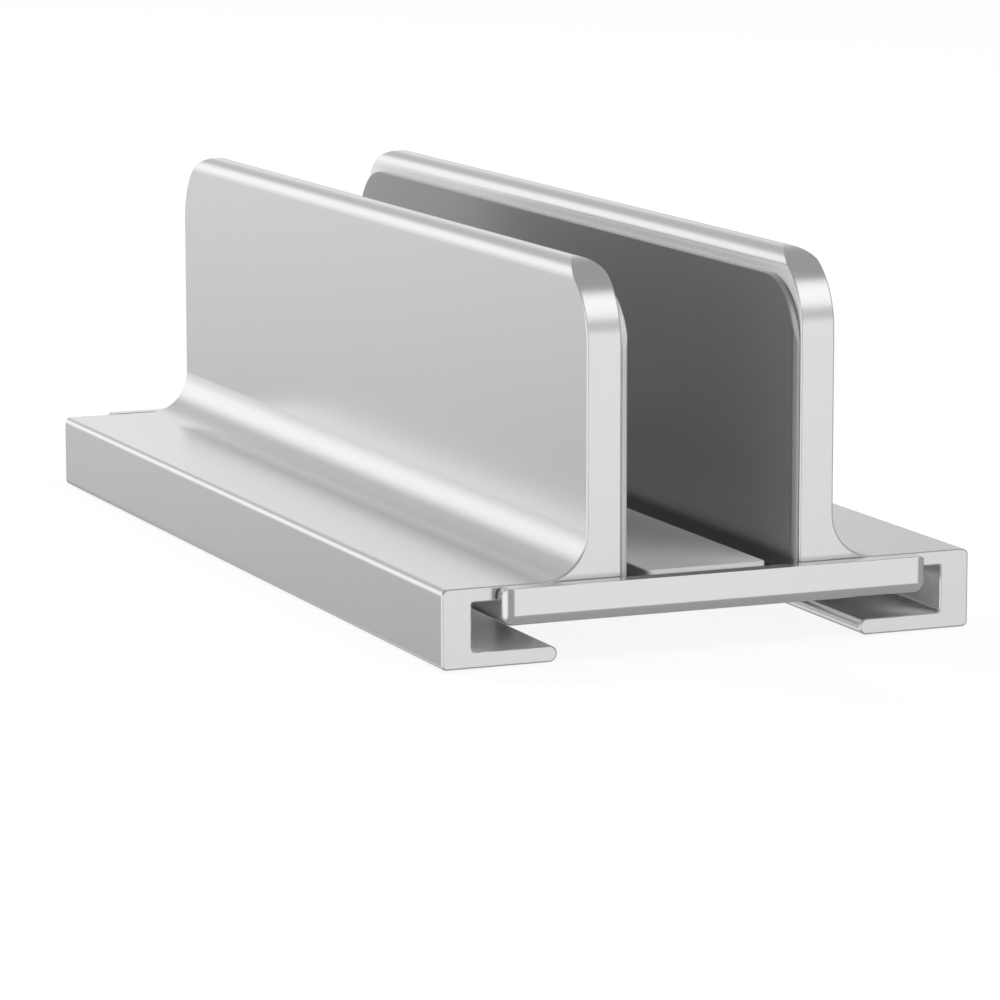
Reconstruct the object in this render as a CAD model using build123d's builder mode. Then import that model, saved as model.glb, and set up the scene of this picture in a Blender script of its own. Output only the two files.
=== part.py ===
from build123d import *

import os

# Vertical laptop stand in satin aluminium, in millimetres with +Z up.
# The origin is on the desk, under the middle of the stand.
# The front end is at -Y and the walls slide along X.
# Two extruded uprights stand on a tray-shaped base plate, which runs inside their C-shaped feet.
# Screws from below, in cross slots of the plate, clamp each upright where the slot suits the laptop.

# Overall sizes of the uprights
upright_length = 180.0
upright_height = 58.9
slot_gap = 27.0

# Section of an upright
wall_thickness = 5.6
wall_top_land = 0.1
root_fillet = 7.0
foot_height = 12.1
foot_reach = 23.2
foot_wall_thickness = 4.8
flange_thickness = 2.25
flange_outer_round = 1.0
channel_top_round = 0.3
channel_floor_round = 0.8
lip_thickness = 2.45
lip_length = 18.45
lip_nose_land = 0.05
foot_outer_round = 0.8
corner_radius = 12.0
cutter_margin = 2.0
edge_break = 0.2

# Base plate
plate_thickness = 3.5
plate_stop_clearance = 0.25
end_bar_thickness = 2.6
end_bar_gap = 0.6
plate_edge_round = 1.7
bar_end_round = 1.4
bar_edge_break = 0.15
recess_root_round = 0.5

# Silicone pads
wall_pad_thickness = 1.2
wall_pad_top_drop = 3.9
wall_pad_end_inset = 0.15
wall_pad_floor_gap = 0.5
wall_pad_corner_radius = 10.0
wall_pad_foot_radius = 1.0
wall_pad_end_round = 0.8
wall_pad_back_break = 0.2
centre_pad_stop_clearance = 0.3
centre_pad_thickness = 2.5
centre_pad_end_inset = 1.4
centre_pad_corner_radius = 1.0
pad_edge_break = 0.15

# Foot pads in pockets under the lips
foot_pad_length = 36.0
foot_pad_width = 9.0
foot_pad_thickness = 1.0
foot_pad_proud = 0.4
foot_pad_end_distance = 24.0
foot_pad_side_clearance = 0.15

# Travel of each upright and its clamp screws
travel_in = 3.3
travel_out = 7.5
travel_clearance = 0.2
screw_end_distance = 35.0
screw_diameter = 2.9
screw_running_clearance = 0.05
screw_slot_clearance = 0.3
screw_thread_engagement = 7.2
screw_hole_spare_depth = 2.0
screw_head_diameter = 5.5
screw_head_height = 3.0
screw_head_break = 0.3
screw_tip_break = 0.4
hex_across_flats = 2.5
hex_depth = 1.6
washer_diameter = 7.0
washer_thickness = 0.5
washer_bore_clearance = 0.1
spring_washer_diameter = 5.3
spring_washer_thickness = 0.8
spring_washer_gap = 0.9
spring_washer_slant = 25.0

# Levels above the desk
lip_underside = foot_pad_proud
seat_level = lip_underside + foot_height - flange_thickness
flange_top = lip_underside + foot_height
wall_top = lip_underside + upright_height
plate_underside = seat_level - plate_thickness
washer_level = plate_underside - washer_thickness
spring_washer_level = washer_level - spring_washer_thickness
screw_head_level = spring_washer_level - screw_head_height
screw_tip_level = seat_level + screw_thread_engagement
wall_pad_foot = seat_level + wall_pad_floor_gap
wall_pad_top = wall_top - wall_pad_top_drop

# Stations across the stand, for the right-hand side
wall_inner = slot_gap / 2 + wall_pad_thickness
wall_outer = wall_inner + wall_thickness
wall_middle = wall_inner + wall_thickness / 2
foot_outer = wall_outer + foot_reach
channel_outer = foot_outer - foot_wall_thickness
lip_nose = foot_outer - lip_length
foot_pad_middle = (foot_outer + lip_nose) / 2
plate_half_width = channel_outer - channel_top_round - travel_in - plate_stop_clearance
centre_pad_width = slot_gap - 2 * (travel_in + centre_pad_stop_clearance)

# Stations along the stand
upright_end = upright_length / 2
bar_inner = upright_end + end_bar_gap
bar_outer = bar_inner + end_bar_thickness
wall_pad_end = upright_end - wall_pad_end_inset
centre_pad_end = upright_end - centre_pad_end_inset
screw_station = upright_end - screw_end_distance
foot_pad_station = upright_end - foot_pad_end_distance - foot_pad_length / 2

# Radii of the fastener fits, and the cross slots
screw_radius = screw_diameter / 2
tapped_radius = screw_radius + screw_running_clearance
slot_radius = screw_radius + screw_slot_clearance
washer_bore_radius = screw_radius + washer_bore_clearance
slot_length = travel_in + travel_out + 2 * (travel_clearance + slot_radius)
slot_middle = wall_middle + (travel_out - travel_in) / 2

sides = {"left": -1, "right": 1}
ends = {"front": -1, "rear": 1}

os.makedirs("parts", exist_ok=True)


def write_piece(piece, name):
    """Label a finished piece with its node's name and write it."""
    piece.label = name
    export_step(piece, f"parts/{name}.step")


# Full rounds of the wall's top and the lip's nose, with a sliver of flat between the arcs
wall_top_round = (wall_thickness - wall_top_land) / 2
lip_nose_round = (lip_thickness - lip_nose_land) / 2

# Disc with chamfered rims that leaves the milled round on a wall's top corner
with BuildPart() as corner_disc:
    Cylinder(corner_radius, wall_thickness, rotation=(0, 90, 0))
    chamfer(corner_disc.edges().filter_by(GeomType.CIRCLE), edge_break)

# Cutter for the front top corner: the square corner less the disc
corner_axis_y = -upright_end + corner_radius
corner_axis_z = wall_top - corner_radius
with BuildPart() as corner_cutter:
    with Locations((wall_middle, corner_axis_y, corner_axis_z)):
        Box(
            wall_thickness + 2 * cutter_margin,
            corner_radius + cutter_margin,
            corner_radius + cutter_margin,
            align=(Align.CENTER, Align.MAX, Align.MIN),
        )
        add(corner_disc.part, mode=Mode.SUBTRACT)

# Right upright: one extrusion, its end faces broken and its top corners milled
with BuildPart() as right_upright:
    with BuildSketch(Plane.XZ) as upright_section:
        with BuildLine():
            FilletPolyline(
                (wall_inner, seat_level),
                (wall_inner, wall_top),
                (wall_outer, wall_top),
                (wall_outer, flange_top),
                (foot_outer, flange_top),
                (foot_outer, lip_underside),
                (lip_nose, lip_underside),
                (lip_nose, lip_underside + lip_thickness),
                (channel_outer, lip_underside + lip_thickness),
                (channel_outer, seat_level),
                radius=[
                    0,
                    wall_top_round,
                    wall_top_round,
                    root_fillet,
                    flange_outer_round,
                    foot_outer_round,
                    lip_nose_round,
                    lip_nose_round,
                    channel_floor_round,
                    channel_top_round,
                ],
                close=True,
            )
        make_face()
    extrude(amount=upright_end, both=True)
    end_faces = right_upright.faces().filter_by(Axis.Y)
    chamfer(end_faces.edges(), edge_break)
    add(corner_cutter.part, mode=Mode.SUBTRACT)
    mirror(corner_cutter.part, about=Plane.XZ, mode=Mode.SUBTRACT)
    # Tapped holes for the clamp screws, open at the foot's seat
    with BuildSketch(Plane.XY.offset(seat_level)):
        with Locations(*[(wall_middle, end * screw_station) for end in ends.values()]):
            Circle(tapped_radius)
    extrude(amount=screw_thread_engagement + screw_hole_spare_depth, mode=Mode.SUBTRACT)
    # Pockets for the foot pads, milled into the lip from below
    with BuildSketch(Plane.XY.offset(lip_underside)):
        with Locations(*[(foot_pad_middle, end * foot_pad_station) for end in ends.values()]):
            SlotOverall(
                foot_pad_length + 2 * foot_pad_side_clearance,
                foot_pad_width + 2 * foot_pad_side_clearance,
                rotation=90,
            )
    extrude(amount=foot_pad_thickness - foot_pad_proud, mode=Mode.SUBTRACT)

with BuildPart() as left_upright:
    mirror(right_upright.part, about=Plane.YZ)

write_piece(right_upright.part, "right_upright")
write_piece(left_upright.part, "left_upright")

# Base plate: a slab with rounded lower and upright edges, cut to its tray section and its bars' round ends
with BuildPart() as tray_section:
    with BuildSketch(Plane.YZ):
        with BuildLine():
            FilletPolyline(
                (-bar_outer, plate_underside),
                (-bar_outer, flange_top),
                (-bar_inner, flange_top),
                (-bar_inner, seat_level),
                (bar_inner, seat_level),
                (bar_inner, flange_top),
                (bar_outer, flange_top),
                (bar_outer, plate_underside),
                radius=[0, bar_edge_break, bar_edge_break, recess_root_round]
                + [recess_root_round, bar_edge_break, bar_edge_break, 0],
                close=True,
            )
        make_face()
    extrude(amount=plate_half_width, both=True)

with BuildPart() as end_section:
    with BuildSketch(Plane.XZ):
        with BuildLine():
            FilletPolyline(
                (-plate_half_width, plate_underside),
                (-plate_half_width, flange_top),
                (plate_half_width, flange_top),
                (plate_half_width, plate_underside),
                radius=[0, bar_end_round, bar_end_round, 0],
                close=True,
            )
        make_face()
    extrude(amount=bar_outer, both=True)

with BuildPart() as base_plate:
    with Locations((0, 0, plate_underside)):
        Box(
            2 * plate_half_width,
            2 * bar_outer,
            flange_top - plate_underside,
            align=(Align.CENTER, Align.CENTER, Align.MIN),
        )
    upright_edges = base_plate.edges().filter_by(Axis.Z)
    lower_edges = base_plate.edges().group_by(Axis.Z)[0]
    fillet(upright_edges + lower_edges, plate_edge_round)
    add(tray_section.part, mode=Mode.INTERSECT)
    add(end_section.part, mode=Mode.INTERSECT)
    # Cross slots for the clamp screws
    with BuildSketch(Plane.XY.offset(plate_underside)):
        with Locations(
            *[(side * slot_middle, end * screw_station) for side in sides.values() for end in ends.values()]
        ):
            SlotOverall(slot_length, 2 * slot_radius)
    extrude(amount=plate_thickness, mode=Mode.SUBTRACT)

write_piece(base_plate.part, "base_plate")

# Plan of a wall pad, whose face turns into its ends in a round
with BuildPart() as wall_pad_plan:
    with BuildSketch():
        with BuildLine():
            FilletPolyline(
                (wall_inner, wall_pad_end),
                (wall_inner - wall_pad_thickness, wall_pad_end),
                (wall_inner - wall_pad_thickness, -wall_pad_end),
                (wall_inner, -wall_pad_end),
                radius=[0, wall_pad_end_round, wall_pad_end_round, 0],
                close=True,
            )
        make_face()
    extrude(amount=wall_pad_top)

# Silicone pad on the inner face of the right-hand wall, its back edges broken too
with BuildPart() as right_wall_pad:
    with BuildSketch(Plane.YZ.offset(wall_inner)):
        with BuildLine():
            FilletPolyline(
                (-wall_pad_end, wall_pad_foot),
                (-wall_pad_end, wall_pad_top),
                (wall_pad_end, wall_pad_top),
                (wall_pad_end, wall_pad_foot),
                radius=[
                    wall_pad_foot_radius,
                    wall_pad_corner_radius,
                    wall_pad_corner_radius,
                    wall_pad_foot_radius,
                ],
                close=True,
            )
        make_face()
    extrude(amount=-wall_pad_thickness)
    chamfer(right_wall_pad.faces().sort_by(Axis.X)[0].edges(), pad_edge_break)
    chamfer(right_wall_pad.faces().sort_by(Axis.X)[-1].edges(), wall_pad_back_break)
    add(wall_pad_plan.part, mode=Mode.INTERSECT)

with BuildPart() as left_wall_pad:
    mirror(right_wall_pad.part, about=Plane.YZ)

write_piece(right_wall_pad.part, "right_wall_pad")
write_piece(left_wall_pad.part, "left_wall_pad")

# Silicone strip under the laptop, stuck to the floor of the tray
with BuildPart() as centre_pad:
    with BuildSketch(Plane.XY.offset(seat_level)):
        RectangleRounded(centre_pad_width, 2 * centre_pad_end, centre_pad_corner_radius)
    extrude(amount=centre_pad_thickness)
    chamfer(centre_pad.faces().sort_by(Axis.Z)[-1].edges(), pad_edge_break)

write_piece(centre_pad.part, "centre_pad")

# What repeats at the front and rear of both sides
for side_name, side in sides.items():
    for end_name, end in ends.items():
        place = f"{side_name}_{end_name}"
        screw_x = side * wall_middle
        screw_y = end * screw_station

        # Silicone foot pad, upside down in its pocket under the lip
        with BuildPart() as foot_pad:
            with BuildSketch():
                with Locations((side * foot_pad_middle, end * foot_pad_station)):
                    SlotOverall(foot_pad_length, foot_pad_width, rotation=90)
            extrude(amount=foot_pad_thickness)
            chamfer(foot_pad.faces().sort_by(Axis.Z)[0].edges(), pad_edge_break)
        write_piece(foot_pad.part, f"{place}_foot_pad")

        # Flat washer that bridges the slot from below
        with BuildPart() as flat_washer:
            with BuildSketch(Plane.XY.offset(washer_level)):
                with Locations((screw_x, screw_y)):
                    Circle(washer_diameter / 2)
                    Circle(washer_bore_radius, mode=Mode.SUBTRACT)
            extrude(amount=washer_thickness)
        write_piece(flat_washer.part, f"{place}_flat_washer")

        # Spring washer, clamped flat, with its slanted split
        with BuildPart() as spring_washer:
            with BuildSketch(Plane.XY.offset(spring_washer_level)):
                with Locations((screw_x, screw_y)):
                    Circle(spring_washer_diameter / 2)
                    Circle(washer_bore_radius, mode=Mode.SUBTRACT)
            extrude(amount=spring_washer_thickness)
            split_y = screw_y + end * (washer_bore_radius + spring_washer_diameter / 2) / 2
            split_z = spring_washer_level + spring_washer_thickness / 2
            with Locations(Location((screw_x, split_y, split_z), (0, spring_washer_slant, 0))):
                Box(
                    spring_washer_gap,
                    spring_washer_diameter / 2,
                    spring_washer_diameter,
                    mode=Mode.SUBTRACT,
                )
        write_piece(spring_washer.part, f"{place}_spring_washer")

        # Cap screw with its hex socket facing the desk
        with BuildPart() as clamp_screw:
            with BuildSketch(Plane.XY.offset(spring_washer_level)):
                with Locations((screw_x, screw_y)):
                    Circle(screw_head_diameter / 2)
            extrude(amount=-screw_head_height)
            chamfer(clamp_screw.faces().sort_by(Axis.Z)[0].edges(), screw_head_break)
            with BuildSketch(Plane.XY.offset(spring_washer_level)):
                with Locations((screw_x, screw_y)):
                    Circle(screw_radius)
            extrude(amount=screw_tip_level - spring_washer_level)
            chamfer(clamp_screw.faces().sort_by(Axis.Z)[-1].edges(), screw_tip_break)
            with BuildSketch(Plane.XY.offset(screw_head_level)):
                with Locations((screw_x, screw_y)):
                    RegularPolygon(hex_across_flats / 2, side_count=6, major_radius=False)
            extrude(amount=hex_depth, mode=Mode.SUBTRACT)
        write_piece(clamp_screw.part, f"{place}_clamp_screw")
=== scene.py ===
import math

import bpy
from mathutils import Matrix, Vector

# Vertical laptop stand in satin anodised aluminium, in metres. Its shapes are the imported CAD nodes.
# This script gives them their materials, and adds the photograph's camera, a studio and a floor.

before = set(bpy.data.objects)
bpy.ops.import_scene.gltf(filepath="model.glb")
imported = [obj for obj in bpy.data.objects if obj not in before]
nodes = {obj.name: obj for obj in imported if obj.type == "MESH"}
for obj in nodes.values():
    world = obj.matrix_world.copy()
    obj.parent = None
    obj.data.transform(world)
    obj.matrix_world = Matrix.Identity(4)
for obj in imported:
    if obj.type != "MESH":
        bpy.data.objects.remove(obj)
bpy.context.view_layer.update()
bpy.context.scene.view_settings.view_transform = "Standard"

# Camera, from a fit to the photograph's edges. All angles are in degrees.
PHOTO_SIZE = 1000
FOCAL_PIXELS = 4860.28
SENSOR_WIDTH = 36.0
CAMERA_PLACE = (-0.305694, -0.736904, 0.146154)
CAMERA_AZIMUTH = 22.766
CAMERA_ELEVATION = 9.7744
CAMERA_ROLL = -0.0781
CAMERA_CLIP = (0.01, 20.0)

# Studio dome: a dim level all round with soft brighter zones in it, which the metal mirrors.
# A zone has an azimuth and elevation, the angles from there at which it is full and gone, and a level.
DOME_LEVEL = 0.335
DOME_ZONES = {
    "above the camera": (145.0, 43.0, 7.0, 25.0, 0.88),
    "beside the camera": (156.0, 18.0, 0.0, 16.0, 0.26),
    "under the camera": (157.0, -4.0, 8.0, 17.0, 0.64),
    "behind the stand": (15.0, 13.0, 3.0, 14.0, 0.27),
    "behind on the left": (-21.0, 5.0, 5.0, 20.5, 0.54),
    "left": (-92.0, -5.0, 22.0, 46.0, 0.75),
    "low behind on the left": (-22.0, -34.0, 8.0, 22.0, 0.60),
}

# A broad band of light above the horizon, behind the stand
HORIZON_GLOW = 0.33
HORIZON_DIRECTION = (4.0, 14.0)
HORIZON_WIDTH = (20.0, 50.0)
HORIZON_TOP = (10.0, 50.0)
HORIZON_FOOT = (6.0, -8.0)

# Softboxes for the matt surfaces: azimuth, elevation, size and radiance
SOFTBOXES = {
    "key_softbox": (145.0, 46.0, 0.9, 5.4),
    "fill_softbox": (-27.0, 40.0, 0.45, 33.0),
    "front_softbox": (158.0, 8.0, 0.8, 5.0),
}
SOFTBOX_DISTANCE = 1.5

# Floor
FLOOR_HALF_SIZE = 6.0
FLOOR_COLOUR = (0.9, 0.9, 0.9)
FLOOR_ROUGHNESS = 0.9
FLOOR_WHITE_SHARE = 0.9
WHITE = (1.0, 1.0, 1.0)

# Satin metal. Deep recesses keep a duller film, and so do the walls' inner faces, up to a reach from the
# stand's middle plane.
METALLIC = 0.94
FILM_METALLIC = 0.15
RECESS_DEPTH = 0.010
RECESS_OPENNESS = (0.35, 0.75)
RECESS_SAMPLES = 6
INNER_FACE_REACH = (0.01471, 0.01476)
EDGE_SAMPLES = 6
EDGE_TURN = (0.98, 0.80)
EDGE_WEAR_AND_HIGHLIGHT = 1.06
METAL_CLOUD_SCALE = 60.0
METAL_CLOUD_DETAIL = 3.0
METAL_GRAIN_DETAIL = 2.0
METAL_GRAIN_DEPTH = 0.000004
METAL_GRAIN_STRENGTH = 0.4

# Silicone. The wall pads get a painted shade band along their bottom edge, which fades out between two
# heights above the desk.
SILICONE_CLOUD_SCALE = 45.0
SILICONE_CLOUD_DETAIL = 4.0
SILICONE_GRAIN_SCALE = 3500.0
SILICONE_GRAIN_DETAIL = 3.0
SILICONE_GRAIN_STRENGTH = 0.5
SILICONE_SPECULAR = 0.8
SILICONE_SHEEN = 0.05
SILICONE_SHEEN_ROUGHNESS = 0.5
SILICONE_COAT_ROUGHNESS = 0.25
PAINTED_SHADE_BAND = (0.0129, 0.0141)

# Finishes: linear colours and the rest between their lowest and highest values, sizes in metres
WALL_FINISH = {
    "dark": (0.765, 0.765, 0.77),
    "light": (0.795, 0.795, 0.80),
    "roughness": (0.19, 0.23),
    "grain_size": 0.00022,
    "edge_radius": 0.00018,
    "inner_film": True,
}
PLATE_FINISH = {
    "dark": (0.77, 0.77, 0.775),
    "light": (0.80, 0.80, 0.805),
    "roughness": (0.17, 0.21),
    "grain_size": 0.00016,
    "edge_radius": 0.00015,
}
STEEL_FINISH = {
    "dark": (0.48, 0.48, 0.49),
    "light": (0.58, 0.58, 0.59),
    "roughness": (0.25, 0.35),
    "grain_size": 0.0003,
    "edge_radius": 0.0001,
}
WALL_PAD_FINISH = {
    "dark": (0.132, 0.132, 0.132),
    "light": (0.150, 0.150, 0.150),
    "roughness": (0.27, 0.33),
    "grain_depth": 0.000008,
    "coat": 1.0,
    # Colour of the painted shade along the pads' bottom edge
    "painted_shade": (0.05, 0.05, 0.05),
}
# Painted light on the wall pads' front and rear ends: the left pad's ends are painted paler, where the light
# falls, and the right pad's dimmer, as painted shade beside the wall's edge.
LEFT_PAD_PAINTED_LIGHT_END = {"end_colour": (0.33, 0.33, 0.33), "end_facing": (0.25, 0.60)}
RIGHT_PAD_PAINTED_LIGHT_END = {"end_colour": (0.20, 0.20, 0.20), "end_facing": (0.75, 0.95)}
CENTRE_PAD_FINISH = {
    "dark": (0.40, 0.40, 0.40),
    "light": (0.44, 0.44, 0.44),
    "roughness": (0.45, 0.55),
    "grain_depth": 0.00001,
    # Painted light: the ends are paler than the top, so that they read as bright as the lit top.
    "end_colour": (0.60, 0.60, 0.60),
    "end_facing": (0.75, 0.95),
}
FOOT_PAD_FINISH = {
    "dark": (0.08, 0.08, 0.08),
    "light": (0.10, 0.10, 0.10),
    "roughness": (0.50, 0.60),
    "grain_depth": 0.00001,
    "end_colour": (0.12, 0.12, 0.12),
    "end_facing": (0.75, 0.95),
}


def direction(azimuth, elevation):
    """Unit vector for an azimuth from +Y towards +X and an elevation, in degrees."""
    a, e = math.radians(azimuth), math.radians(elevation)
    return Vector((math.sin(a) * math.cos(e), math.cos(a) * math.cos(e), math.sin(e)))


def add_camera():
    """Makes the photograph's camera the scene's camera."""
    data = bpy.data.cameras.new("camera")
    data.sensor_width = SENSOR_WIDTH
    data.lens = FOCAL_PIXELS * SENSOR_WIDTH / PHOTO_SIZE
    data.clip_start, data.clip_end = CAMERA_CLIP
    camera = bpy.data.objects.new("camera", data)
    bpy.context.scene.collection.objects.link(camera)
    forward = direction(CAMERA_AZIMUTH, -CAMERA_ELEVATION)
    right = forward.cross(Vector((0, 0, 1))).normalized()
    up = right.cross(forward)
    roll = math.radians(CAMERA_ROLL)
    right, up = right * math.cos(roll) + up * math.sin(roll), up * math.cos(roll) - right * math.sin(roll)
    turn = Matrix((right, up, -forward)).transposed()
    camera.matrix_world = Matrix.Translation(CAMERA_PLACE) @ turn.to_4x4()
    bpy.context.scene.camera = camera


def new_material(name):
    """A new node material, its tree and its Principled shader."""
    material = bpy.data.materials.new(name)
    material.use_nodes = True
    tree = material.node_tree
    return material, tree, tree.nodes["Principled BSDF"]


def feed(tree, value, socket):
    """Links another node's output to a socket, or sets the socket to a number or a colour."""
    if isinstance(value, bpy.types.NodeSocket):
        tree.links.new(value, socket)
    elif isinstance(value, tuple):
        socket.default_value = value + (1,)
    else:
        socket.default_value = value


def calculate(tree, operation, *values):
    """The result of a Math node."""
    node = tree.nodes.new("ShaderNodeMath")
    node.operation = operation
    for value, socket in zip(values, node.inputs):
        feed(tree, value, socket)
    return node.outputs[0]


def remap(tree, value, source, target=(0.0, 1.0), shape="LINEAR"):
    """Carries a number from one range over to another, and holds it at the ends."""
    node = tree.nodes.new("ShaderNodeMapRange")
    node.interpolation_type = shape
    for ends, prefix in ((source, "From"), (target, "To")):
        node.inputs[prefix + " Min"].default_value, node.inputs[prefix + " Max"].default_value = ends
    feed(tree, value, node.inputs["Value"])
    return node.outputs["Result"]


def mix_colours(tree, share, first, second):
    """The first colour where the share is 0, and the second where it is 1."""
    node = tree.nodes.new("ShaderNodeMix")
    node.data_type = "RGBA"
    for value, name in ((share, "Factor"), (first, "A"), (second, "B")):
        feed(tree, value, node.inputs[name])
    return node.outputs["Result"]


def mix_shaders(tree, share, first, second):
    """The first shader where the share is 0, and the second where it is 1."""
    node = tree.nodes.new("ShaderNodeMixShader")
    for value, socket in zip((share, first, second), node.inputs):
        feed(tree, value, socket)
    return node.outputs["Shader"]


def dot_product(tree, first, second):
    """The dot product of a linked vector and either another one or a fixed one."""
    node = tree.nodes.new("ShaderNodeVectorMath")
    node.operation = "DOT_PRODUCT"
    for value, socket in zip((first, second), node.inputs):
        if isinstance(value, Vector):
            socket.default_value = value
        else:
            tree.links.new(value, socket)
    return node.outputs["Value"]


def component(tree, vector, axis):
    """One component of a vector."""
    node = tree.nodes.new("ShaderNodeSeparateXYZ")
    feed(tree, vector, node.inputs[0])
    return node.outputs[axis]


def noise(tree, scale, detail):
    """A noise field over the piece, in metres of the stand's own frame."""
    place = tree.nodes.new("ShaderNodeTexCoord")
    field = tree.nodes.new("ShaderNodeTexNoise")
    field.inputs["Scale"].default_value = scale
    field.inputs["Detail"].default_value = detail
    feed(tree, place.outputs["Object"], field.inputs["Vector"])
    return field.outputs["Fac"]


def grain(tree, shader, height, strength, depth, normal=None):
    """Gives the shader a bump from a height field, over a normal where one is given."""
    bump = tree.nodes.new("ShaderNodeBump")
    bump.inputs["Strength"].default_value = strength
    bump.inputs["Distance"].default_value = depth
    feed(tree, height, bump.inputs["Height"])
    if normal is not None:
        feed(tree, normal, bump.inputs["Normal"])
    feed(tree, bump.outputs["Normal"], shader.inputs["Normal"])


def add_softbox(name, azimuth, elevation, size, radiance):
    """A square area lamp that faces the stand from a direction and isn't mirrored in it."""
    data = bpy.data.lights.new(name, "AREA")
    data.shape = "SQUARE"
    data.size = size
    data.energy = radiance * math.pi * size * size
    lamp = bpy.data.objects.new(name, data)
    away = direction(azimuth, elevation)
    lamp.location = away * SOFTBOX_DISTANCE
    lamp.rotation_mode = "QUATERNION"
    lamp.rotation_quaternion = away.to_track_quat("Z", "Y")
    lamp.visible_camera = False
    lamp.visible_glossy = False
    bpy.context.scene.collection.objects.link(lamp)


def add_world():
    """White for the camera, and for everything else a dim dome with soft brighter zones."""
    world = bpy.data.worlds.new("studio")
    world.use_nodes = True
    bpy.context.scene.world = world
    tree = world.node_tree
    place = tree.nodes.new("ShaderNodeTexCoord").outputs["Generated"]

    def toward(azimuth, elevation, inner, outer, level):
        """A level that is full inside one angle from a direction and falls to nothing at another."""
        nearness = dot_product(tree, place, direction(azimuth, elevation))
        ends = (math.cos(math.radians(outer)), math.cos(math.radians(inner)))
        return remap(tree, nearness, ends, (0.0, level), "SMOOTHSTEP")

    def at_height(full, gone, level):
        """A level that is full at one elevation and falls to nothing at another."""
        ends = (math.sin(math.radians(gone)), math.sin(math.radians(full)))
        return remap(tree, component(tree, place, "Z"), ends, (0.0, level), "SMOOTHSTEP")

    band = calculate(tree, "MULTIPLY", at_height(*HORIZON_TOP, HORIZON_GLOW), at_height(*HORIZON_FOOT, 1.0))
    level = calculate(tree, "MULTIPLY", band, toward(*HORIZON_DIRECTION, *HORIZON_WIDTH, 1.0))
    for zone in DOME_ZONES.values():
        level = calculate(tree, "ADD", level, toward(*zone))
    dome = calculate(tree, "ADD", level, DOME_LEVEL)
    rays = tree.nodes.new("ShaderNodeLightPath")
    seen = mix_colours(tree, rays.outputs["Is Camera Ray"], dome, WHITE)
    feed(tree, seen, tree.nodes["Background"].inputs["Color"])


def add_floor():
    """A pale floor that keeps the stand's shadow, reads white to the camera and isn't mirrored in metal."""
    mesh = bpy.data.meshes.new("floor")
    signs = ((-1, -1), (1, -1), (1, 1), (-1, 1))
    corners = [(x * FLOOR_HALF_SIZE, y * FLOOR_HALF_SIZE, 0) for x, y in signs]
    mesh.from_pydata(corners, [], [(0, 1, 2, 3)])
    floor = bpy.data.objects.new("floor", mesh)
    bpy.context.scene.collection.objects.link(floor)
    material, tree, shader = new_material("pale_floor")
    shader.inputs["Base Color"].default_value = FLOOR_COLOUR + (1,)
    shader.inputs["Roughness"].default_value = FLOOR_ROUGHNESS
    rays = tree.nodes.new("ShaderNodeLightPath")
    glow = tree.nodes.new("ShaderNodeEmission")
    glow.inputs["Color"].default_value = WHITE + (1,)
    share = calculate(tree, "MULTIPLY", rays.outputs["Is Camera Ray"], FLOOR_WHITE_SHARE)
    seen = mix_shaders(tree, share, shader.outputs["BSDF"], glow.outputs["Emission"])
    clear = tree.nodes.new("ShaderNodeBsdfTransparent")
    surface = mix_shaders(tree, rays.outputs["Is Glossy Ray"], seen, clear.outputs["BSDF"])
    feed(tree, surface, tree.nodes["Material Output"].inputs["Surface"])
    mesh.materials.append(material)


def metal(name, dark, light, roughness, grain_size, edge_radius, inner_film=False):
    """Satin metal: faint clouds, a fine blasted grain, edges painted lighter, partly as wear and partly as a
    painted highlight, and a dull film in recesses.
    """
    material, tree, shader = new_material(name)
    openness = tree.nodes.new("ShaderNodeAmbientOcclusion")
    openness.samples = RECESS_SAMPLES
    openness.only_local = True
    openness.inputs["Distance"].default_value = RECESS_DEPTH
    bare = remap(tree, openness.outputs["AO"], RECESS_OPENNESS, (FILM_METALLIC, METALLIC))
    if inner_film:
        place = tree.nodes.new("ShaderNodeTexCoord")
        aside = calculate(tree, "ABSOLUTE", component(tree, place.outputs["Object"], "X"))
        outside = remap(tree, aside, INNER_FACE_REACH, (FILM_METALLIC, METALLIC))
        bare = calculate(tree, "MINIMUM", bare, outside)
    feed(tree, bare, shader.inputs["Metallic"])
    bevel = tree.nodes.new("ShaderNodeBevel")
    bevel.samples = EDGE_SAMPLES
    bevel.inputs["Radius"].default_value = edge_radius
    surface = tree.nodes.new("ShaderNodeNewGeometry")
    turn = dot_product(tree, bevel.outputs["Normal"], surface.outputs["Normal"])
    cloud = noise(tree, METAL_CLOUD_SCALE, METAL_CLOUD_DETAIL)
    clouded = mix_colours(tree, cloud, dark, light)
    # Edges are painted lighter: partly wear, partly a painted highlight.
    worn_and_highlit = tuple(min(1.0, EDGE_WEAR_AND_HIGHLIGHT * channel) for channel in light)
    colour = mix_colours(tree, remap(tree, turn, EDGE_TURN), clouded, worn_and_highlit)
    feed(tree, colour, shader.inputs["Base Color"])
    feed(tree, remap(tree, cloud, (0.0, 1.0), roughness), shader.inputs["Roughness"])
    blasted = noise(tree, 1 / grain_size, METAL_GRAIN_DETAIL)
    grain(tree, shader, blasted, METAL_GRAIN_STRENGTH, METAL_GRAIN_DEPTH, bevel.outputs["Normal"])
    return material


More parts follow.
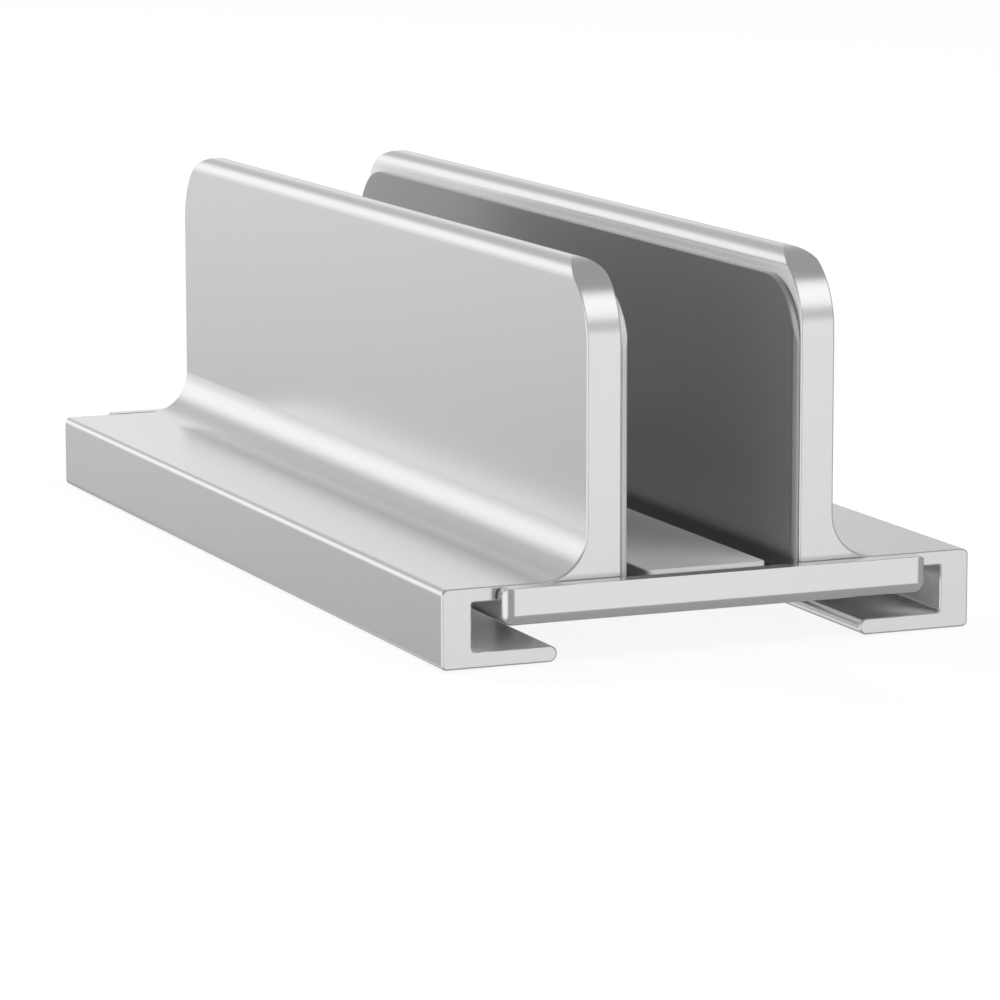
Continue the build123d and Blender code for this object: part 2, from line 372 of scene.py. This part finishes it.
def silicone(name, dark, light, roughness, grain_depth, end_colour, end_facing, coat=0.0, painted_shade=None):
    """Silicone: uneven colour, fine grain, faint sheen, paler ends (painted light on the wall and centre
    pads), and a coat or a painted shade band along the bottom if given.
    """
    material, tree, shader = new_material(name)
    surface = tree.nodes.new("ShaderNodeNewGeometry")
    cloud = noise(tree, SILICONE_CLOUD_SCALE, SILICONE_CLOUD_DETAIL)
    face = mix_colours(tree, cloud, dark, light)
    # Painted shade: darker along the bottom of the pad, below a given height.
    if painted_shade is not None:
        height = component(tree, surface.outputs["Position"], "Z")
        face = mix_colours(tree, remap(tree, height, PAINTED_SHADE_BAND[::-1]), face, painted_shade)
    # Faces that look along the length take the end colour: painted light on the wall and centre pads' ends.
    lengthwise = calculate(tree, "ABSOLUTE", component(tree, surface.outputs["Normal"], "Y"))
    colour = mix_colours(tree, remap(tree, lengthwise, end_facing), face, end_colour)
    feed(tree, colour, shader.inputs["Base Color"])
    feed(tree, remap(tree, cloud, (0.0, 1.0), roughness), shader.inputs["Roughness"])
    shader.inputs["Specular IOR Level"].default_value = SILICONE_SPECULAR
    shader.inputs["Coat Weight"].default_value = coat
    shader.inputs["Coat Roughness"].default_value = SILICONE_COAT_ROUGHNESS
    shader.inputs["Sheen Weight"].default_value = SILICONE_SHEEN
    shader.inputs["Sheen Roughness"].default_value = SILICONE_SHEEN_ROUGHNESS
    moulded = noise(tree, SILICONE_GRAIN_SCALE, SILICONE_GRAIN_DETAIL)
    grain(tree, shader, moulded, SILICONE_GRAIN_STRENGTH, grain_depth)
    return material


add_camera()
add_world()
add_floor()
for name, softbox in SOFTBOXES.items():
    add_softbox(name, *softbox)

steel = metal("screw_steel", **STEEL_FINISH)
finishes = {
    "upright": metal("wall_aluminium", **WALL_FINISH),
    "base_plate": metal("plate_aluminium", **PLATE_FINISH),
    # The two wall pads are one silicone, in a painted lit copy and a painted shaded copy.
    "left_wall_pad": silicone("left_dark_silicone_painted_light", **WALL_PAD_FINISH, **LEFT_PAD_PAINTED_LIGHT_END),
    "right_wall_pad": silicone("right_dark_silicone_painted_shade", **WALL_PAD_FINISH, **RIGHT_PAD_PAINTED_LIGHT_END),
    "centre_pad": silicone("grey_silicone", **CENTRE_PAD_FINISH),
    "foot_pad": silicone("foot_silicone", **FOOT_PAD_FINISH),
    "clamp_screw": steel,
    "washer": steel,
}
for name, node in nodes.items():
    for ending, material in finishes.items():
        if name.endswith(ending):
            node.data.materials.clear()
            node.data.materials.append(material)
